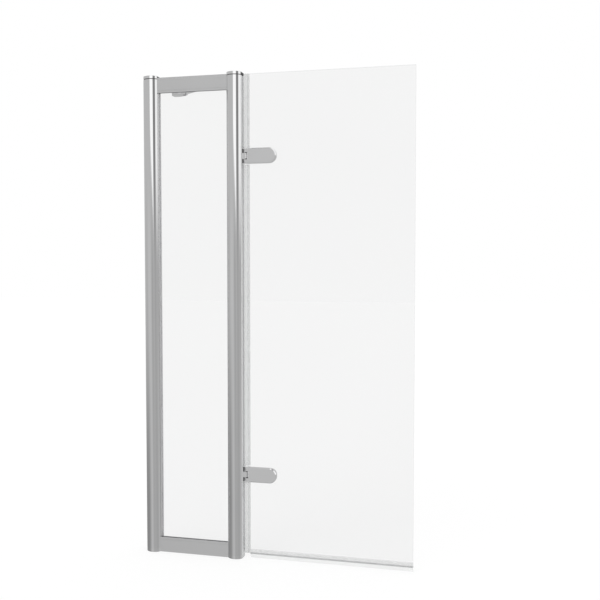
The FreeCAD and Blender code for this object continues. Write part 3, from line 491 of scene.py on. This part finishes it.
def bottom_strip():
    """The bottom strip: clear legs and fin, and a web under the glass drawn darker, a line of painted
    shade.
    """
    finish, recipe, place = new_finish("clear_strip")
    _, _, height = recipe.split(place)
    # Painted shade: the web under the glass edge is drawn darker and more opaque.
    web = within(height, WEB)
    cloud = recipe.noise(place, 30.0)
    grain = recipe.noise(place, 900.0)
    leg_tint = recipe.mottle(cloud, (0.78, 0.79, 0.79, 1), (0.82, 0.83, 0.83, 1))
    shine = recipe.wire("LayerWeight", "Fresnel", None, {"Blend": 0.3})
    recipe.surface(Base_Color=recipe.blend(web, leg_tint, WEB_PAINTED_SHADE),
                   Roughness=(grain - 0.5) * 0.12 + 0.28,
                   Normal=recipe.relief(grain, 0.2, 0.00002),
                   Alpha=shine * 0.25 + (cloud - 0.5) * 0.04 + web * WEB_COVER + LEG_COVER)
    return finish


GLASS = glass_finish()
SIDE_SEAL = milky_strip()
BOTTOM_SEAL = bottom_strip()
RUBBER = rubber_finish("grey_rubber", (0.20, 0.20, 0.205), 0.65, 0.08, 1800, 0.00006, 0.2)
PALE_RUBBER = rubber_finish("pale_rubber", (0.84, 0.84, 0.85), 0.55, 0.03, 1800, 0.00001)
# Dark nylon for the washers and corner blocks. On the leaf liners it is painted shade for the dark hinge
# slot.
NYLON_AND_SLOT_SHADE = rubber_finish("dark_nylon_and_slot_shade", (0.030, 0.030, 0.032), 0.55, 0.08, 1400, 0.00004, 0.15)
print("glass, strips, rubbers and nylon")

# %% [markdown]
# Each solid takes the finish of the stock it is cut or cast from. The stiles and posts are drawn
# upright and the rails lengthwise, so their lines run different ways.

# %% Give every solid its finish
def finish_for(name):
    if "glass" in name:
        return GLASS
    if name.startswith("seal_side"):
        return SIDE_SEAL
    if name == "seal_bottom":
        return BOTTOM_SEAL
    if name in ("gasket_wall", "gasket_hinge"):
        return PALE_RUBBER
    if "gasket" in name:
        return RUBBER
    # The leaf liners are dark sheets put in the hinge slot as painted shade. The washers and corner blocks
    # are dark nylon.
    if name.startswith(("hinge_washers", "leaf_liners")) or name == "corner_blocks":
        return NYLON_AND_SLOT_SHADE
    if name.startswith("cap_top"):
        return CAP
    if name.startswith(("hinge_plate", "hinge_back", "hinge_leaf")):
        return SATIN_CHROME
    if "screw" in name or name.startswith("hinge_pin") or name == "brace_nuts":
        return STEEL
    if name.startswith("stile_"):
        return SATIN_UPRIGHT
    if name.startswith(("rail_", "bead_")):
        return SATIN_RAIL
    if name == "wall_profile":
        return MILL
    if name == "hinge_post":
        return HINGE_POST
    if name == "wall_post":
        return POLISHED
    return CHROME


for name, solid in nodes.items():
    solid.data.materials.clear()
    solid.data.materials.append(finish_for(name))
print(len({finish_for(name).name for name in nodes}), "finishes in use")

# %% [markdown]
# ## Fasteners
# A screw is turned from bar: a head, then a shank. A socket or a cross is pressed into the head by a
# punch, which a boolean with the punch's own shape copies. A cross is pressed in two strokes, one wing
# at a time. Each kind is modelled once, standing on the origin with its drive upwards, and copied.

# %% Screw blanks and their drives
LARGE_HEAD = 0.0045
LARGE_SHANK = 0.0025
SMALL_HEAD = 0.0033
SMALL_SHANK = 0.0017
BRACE_HEAD_HEIGHT = 0.003
ADJUSTING_HEAD_HEIGHT = 0.002
RIM_SHARE = 0.07
ROUNDING_SHARE = 0.22
POINT_INSET = 0.28
POINT_DEPTH = 0.12
WING_TAPER = (0.35, 0.7, 1)
SECOND_STROKE = 1.04
WELD_DISTANCE = 2e-6
SAME_HEIGHT = 1e-6
SMOOTH_ANGLE = 32


def select_only(piece):
    deselect()
    piece.select_set(True)
    bpy.context.view_layer.objects.active = piece


def take(name):
    """The object that was just added, under its own name."""
    made = bpy.context.object
    made.name = name
    return made


def settle():
    """Write the object's place, turn and scale into its mesh."""
    bpy.ops.object.transform_apply(location=True, rotation=True, scale=True)


def edit_faces_at(piece, height):
    """Enter edit mode with only the flat faces at one height selected."""
    bpy.ops.object.mode_set(mode="EDIT")
    bpy.ops.mesh.select_mode(type="FACE")
    bpy.ops.mesh.select_all(action="DESELECT")
    bpy.ops.object.mode_set(mode="OBJECT")
    for polygon in piece.data.polygons:
        polygon.select = abs(polygon.center.z - height) < SAME_HEIGHT and abs(polygon.normal.z) > 0.9
    bpy.ops.object.mode_set(mode="EDIT")


def change(piece, kind, **settings):
    """Apply one modifier to the piece, which is the active object."""
    modifier = piece.modifiers.new(kind.lower(), kind)
    for name, setting in settings.items():
        setattr(modifier, name, setting)
    bpy.ops.object.modifier_apply(modifier=modifier.name)


def cut(piece, tool, operation):
    """Cut the piece with the tool's shape, and take the tool away."""
    select_only(piece)
    change(piece, "BOOLEAN", object=tool, operation=operation, solver="EXACT")
    bpy.data.objects.remove(tool)


def turned_blank(name, head, shank, flush, head_height, length):
    """A round head standing on a shank, its top at height 0 if flush, and its seat there if not."""
    deselect()
    top = 0 if flush else head_height
    bpy.ops.mesh.primitive_cylinder_add(vertices=40, radius=head, depth=head_height,
                                        location=(0, 0, top - head_height / 2))
    blank = take(name)
    settle()
    edit_faces_at(blank, top - head_height)
    if flush:
        share = shank / head
        bpy.ops.transform.resize(value=(share, share, 1))
    else:
        bpy.ops.mesh.inset(thickness=head - shank)
    bpy.ops.mesh.extrude_region_move(TRANSFORM_OT_translate={"value": (0, 0, -length)})
    edit_faces_at(blank, top)
    bpy.ops.mesh.inset(thickness=head * RIM_SHARE)
    bpy.ops.object.mode_set(mode="OBJECT")
    if not flush:
        change(blank, "BEVEL", width=head_height * ROUNDING_SHARE, segments=3, limit_method="ANGLE",
               angle_limit=math.radians(60))
    return blank


def press(blank, punch):
    """Press the punch's shape into the blank."""
    cut(blank, punch, "DIFFERENCE")
    change(blank, "WELD", merge_threshold=WELD_DISTANCE)
    bpy.ops.object.shade_smooth_by_angle(angle=math.radians(SMOOTH_ANGLE))
    return blank


def socket_punch(across, depth, top):
    """A hexagon bar with a pointed end, as an Allen key's socket is pressed."""
    deselect()
    bpy.ops.mesh.primitive_cylinder_add(vertices=6, radius=across / math.sqrt(3), depth=depth * 2,
                                        location=(0, 0, top))
    punch = take("socket_punch")
    settle()
    edit_faces_at(punch, top - depth)
    bpy.ops.mesh.inset(thickness=across * POINT_INSET)
    bpy.ops.transform.translate(value=(0, 0, -across * POINT_DEPTH))
    bpy.ops.object.mode_set(mode="OBJECT")
    return punch


def wing_punch(reach, width, depth, top):
    """One tapered wing of a cross, along X."""
    deselect()
    bpy.ops.mesh.primitive_cube_add(size=1, location=(0, 0, top), scale=(reach * 2, width, depth * 2))
    punch = take("wing_punch")
    settle()
    edit_faces_at(punch, top - depth)
    bpy.ops.transform.resize(value=WING_TAPER)
    bpy.ops.object.mode_set(mode="OBJECT")
    return punch


def press_cross(blank, reach, width, depth, top):
    """Press one wing along X, and a slightly deeper one along Y."""
    press(blank, wing_punch(reach, width, depth, top))
    second = wing_punch(reach, width, depth * SECOND_STROKE, top)
    second.rotation_euler = (0, 0, math.pi / 2)
    settle()
    return press(blank, second)


def plate_screw_model():
    blank = turned_blank("plate_screw_model", LARGE_HEAD, LARGE_SHANK, flush=True,
                         head_height=0.002, length=0.0179)
    return press(blank, socket_punch(across=0.0030, depth=0.0014, top=0))


def brace_screw_model():
    blank = turned_blank("brace_screw_model", LARGE_HEAD, LARGE_SHANK, flush=False,
                         head_height=BRACE_HEAD_HEIGHT, length=0.0112)
    return press(blank, socket_punch(across=0.0040, depth=0.0016, top=BRACE_HEAD_HEIGHT))


def adjusting_screw_model():
    blank = turned_blank("adjusting_screw_model", SMALL_HEAD, SMALL_SHANK, flush=False,
                         head_height=ADJUSTING_HEAD_HEIGHT, length=0.008)
    return press_cross(blank, reach=0.0019, width=0.0008, depth=0.0011, top=ADJUSTING_HEAD_HEIGHT)


def lug_screw_model():
    blank = turned_blank("lug_screw_model", SMALL_HEAD, SMALL_SHANK, flush=True,
                         head_height=0.0016, length=0.0094)
    return press_cross(blank, reach=0.0018, width=0.0008, depth=0.0010, top=0)


def leaf_screw_model():
    blank = turned_blank("leaf_screw_model", LARGE_HEAD, LARGE_SHANK, flush=True,
                         head_height=0.002, length=0.0099)
    return press_cross(blank, reach=0.0026, width=0.0010, depth=0.0013, top=0)


print("the kinds of screw are ready to model")

# %% [markdown]
# A copy of the model is turned and moved to its place, and its place is then applied, so that the
# object itself stays at the origin. The drive points the way that the screw's head faces.

# %% Set the screws in their places
FACING = {"+Y": (-math.pi / 2, 0, 0), "-Y": (math.pi / 2, 0, 0), "+X": (0, math.pi / 2, 0),
          "+Z": (0, 0, 0), "-Z": (math.pi, 0, 0)}


def set_in_place(model, name, foot, faces, body, stands_for, finish=STEEL):
    copy = model.copy()
    copy.data = model.data.copy()
    copy.name = name
    bpy.context.scene.collection.objects.link(copy)
    select_only(copy)
    copy.location = foot
    copy.rotation_euler = FACING[faces]
    settle()
    copy.data.materials.clear()
    copy.data.materials.append(finish)
    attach(copy, body)
    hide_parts(stands_for)
    return copy


def middle(node, axis):
    low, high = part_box(node)
    return (low[axis] + high[axis]) / 2


def set_each(model, label, feet, faces, body, node):
    """A copy of the model at each foot. Each foot stands under the mark that ends the copy's name."""
    return [set_in_place(model, f"{label}_{mark}", foot, faces, body, node)
            for mark, foot in feet.items()]


def set_plate_screws():
    model = plate_screw_model()
    placed = []
    for level in ("lower", "upper"):
        node = f"plate_screws_{level}"
        low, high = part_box(node)
        height = middle(node, 2)
        feet = {1: (low.x + LARGE_HEAD, high.y, height), 2: (high.x - LARGE_HEAD, high.y, height)}
        placed += set_each(model, f"plate_screw_{level}", feet, "+Y", "wing", node)
    bpy.data.objects.remove(model)
    return placed


def set_leaf_screws():
    model = leaf_screw_model()
    placed = []
    for level in ("lower", "upper"):
        node = f"leaf_screws_{level}"
        low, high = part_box(node)
        depth = middle(node, 1)
        feet = {1: (high.x, depth, low.z + LARGE_HEAD), 2: (high.x, depth, high.z - LARGE_HEAD)}
        placed += set_each(model, f"leaf_screw_{level}", feet, "+X", "frame", node)
    bpy.data.objects.remove(model)
    return placed


def set_brace_screws():
    model = brace_screw_model()
    low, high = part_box("brace_screws")
    seat = high.z - BRACE_HEAD_HEIGHT
    feet = {"wall": (low.x + LARGE_HEAD, high.y - LARGE_HEAD, seat),
            "post": (high.x - LARGE_HEAD, low.y + LARGE_HEAD, seat)}
    placed = set_each(model, "brace_screw", feet, "+Z", "frame", "brace_screws")
    bpy.data.objects.remove(model)
    return placed


def set_adjusting_screws():
    model = adjusting_screw_model()
    low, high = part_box("adjusting_screws")
    across = middle("adjusting_screws", 0)
    seat = high.y - ADJUSTING_HEAD_HEIGHT
    heights = (low.z + SMALL_HEAD, middle("adjusting_screws", 2), high.z - SMALL_HEAD)
    feet = {number: (across, seat, height) for number, height in enumerate(heights, start=1)}
    placed = set_each(model, "adjusting_screw", feet, "+Y", "frame", "adjusting_screws")
    bpy.data.objects.remove(model)
    return placed


def set_lug_screws():
    model = lug_screw_model()
    low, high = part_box("lug_screws")
    across = middle("lug_screws", 0)
    feet = {1: (across, high.y, low.z + SMALL_HEAD), 2: (across, high.y, high.z - SMALL_HEAD)}
    placed = set_each(model, "lug_screw", feet, "+Y", "frame", "lug_screws")
    bpy.data.objects.remove(model)
    return placed


screws = set_plate_screws() + set_leaf_screws() + set_brace_screws()
screws += set_adjusting_screws() + set_lug_screws()
print(len(screws), "screws in place")

# %% [markdown]
# The brace's pivot screws end in hexagon nuts below its tongue and lug. A nut is cut from hexagon bar:
# its corners are turned off on the outer face, and its hole fits the screw. The grub screw is a
# short round plug with a socket, sunk in the block's side.

# %% Nuts and the grub screw
CORNER_RADIUS = LARGE_HEAD
HOLE_RADIUS = LARGE_SHANK + 0.00002
SOCKET_ACROSS = 0.0036


def nut_model(height):
    deselect()
    bpy.ops.mesh.primitive_cylinder_add(vertices=6, radius=CORNER_RADIUS, depth=height,
                                        location=(0, 0, height / 2))
    nut = take("nut_model")
    settle()
    bpy.ops.mesh.primitive_cone_add(vertices=48, radius1=CORNER_RADIUS * 1.9, radius2=CORNER_RADIUS * 0.80,
                                    depth=height * 1.25, location=(0, 0, height * 0.38))
    cut(nut, take("nut_turning"), "INTERSECT")
    bpy.ops.mesh.primitive_cylinder_add(vertices=32, radius=HOLE_RADIUS, depth=height * 3,
                                        location=(0, 0, height / 2))
    return press(nut, take("nut_drill"))


def set_nuts():
    low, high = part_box("brace_nuts")
    model = nut_model(high.z - low.z)
    feet = {"wall": (low.x + LARGE_HEAD, high.y - LARGE_HEAD, high.z),
            "post": (high.x - LARGE_HEAD, low.y + LARGE_HEAD, high.z)}
    placed = set_each(model, "brace_nut", feet, "-Z", "frame", "brace_nuts")
    bpy.data.objects.remove(model)
    return placed


def set_grub_screw():
    low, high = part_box("brace_grub_screw")
    radius = (high.x - low.x) / 2
    depth = high.y - low.y
    deselect()
    bpy.ops.mesh.primitive_cylinder_add(vertices=40, radius=radius, depth=depth,
                                        location=(0, 0, -depth / 2))
    blank = take("grub_model")
    settle()
    edit_faces_at(blank, 0)
    bpy.ops.mesh.inset(thickness=radius * 0.10)
    bpy.ops.object.mode_set(mode="OBJECT")
    model = press(blank, socket_punch(SOCKET_ACROSS, depth * 0.5, 0))
    foot = (middle("brace_grub_screw", 0), low.y, middle("brace_grub_screw", 2))
    placed = set_in_place(model, "grub_screw", foot, "-Y", "frame", "brace_grub_screw",
                          BLACK_STEEL)
    bpy.data.objects.remove(model)
    return placed


fixings = set_nuts() + [set_grub_screw()]
print(len(fixings), "nuts and plugs in place")

# %% [markdown]
# ## Rounding a box
# Finishes and fasteners must not make the screen larger than its solids. The helper below rounds a
# box's corners to the micrometre.

# %% Round a box
def plain(box):
    return [[round(number, 6) for number in corner] for corner in box]
